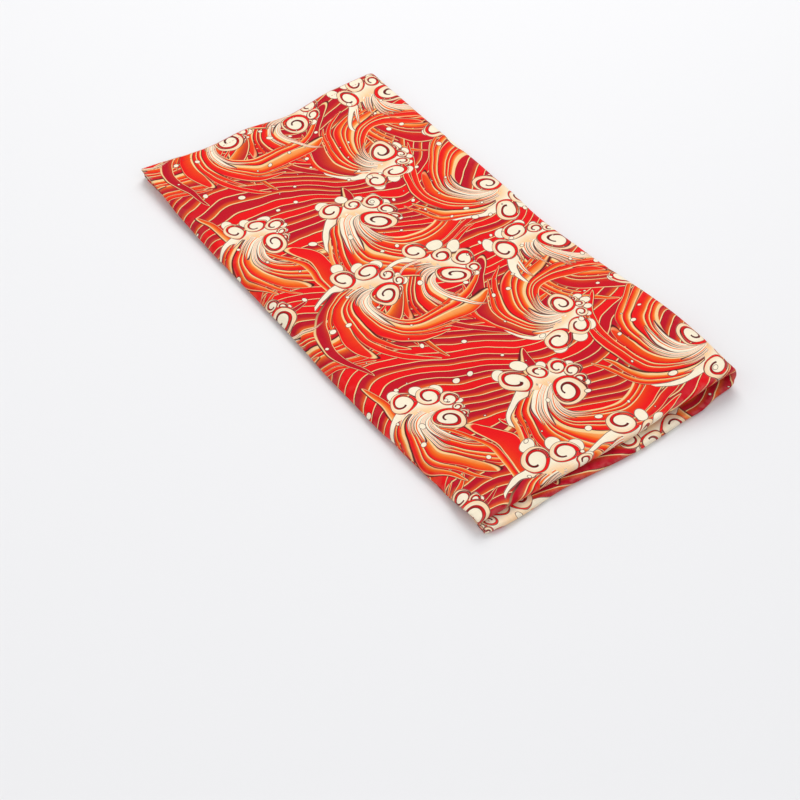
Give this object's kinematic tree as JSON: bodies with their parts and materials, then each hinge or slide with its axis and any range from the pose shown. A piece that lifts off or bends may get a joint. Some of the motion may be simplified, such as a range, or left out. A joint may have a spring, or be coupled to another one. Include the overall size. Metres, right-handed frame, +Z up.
{
  "type": "furoshiki",
  "caption": "Square cotton wrapping cloth with a wave print, folded in half three times into a flat oblong whose one corner springs open.",
  "frame": {"origin": "under the middle of the folded cloth's box, on the surface it lies on", "axes": "+X along the length, from the end where the hems show to the folded end; +Y across, towards the long folded side; +Z up"},
  "size_m": [0.4587, 0.2377, 0.0205],
  "materials": {
    "printed_cotton": "matte"
  },
  "bodies": {
    "root": {"folded_cloth": "printed_cotton"}
  },
  "joints": []
}
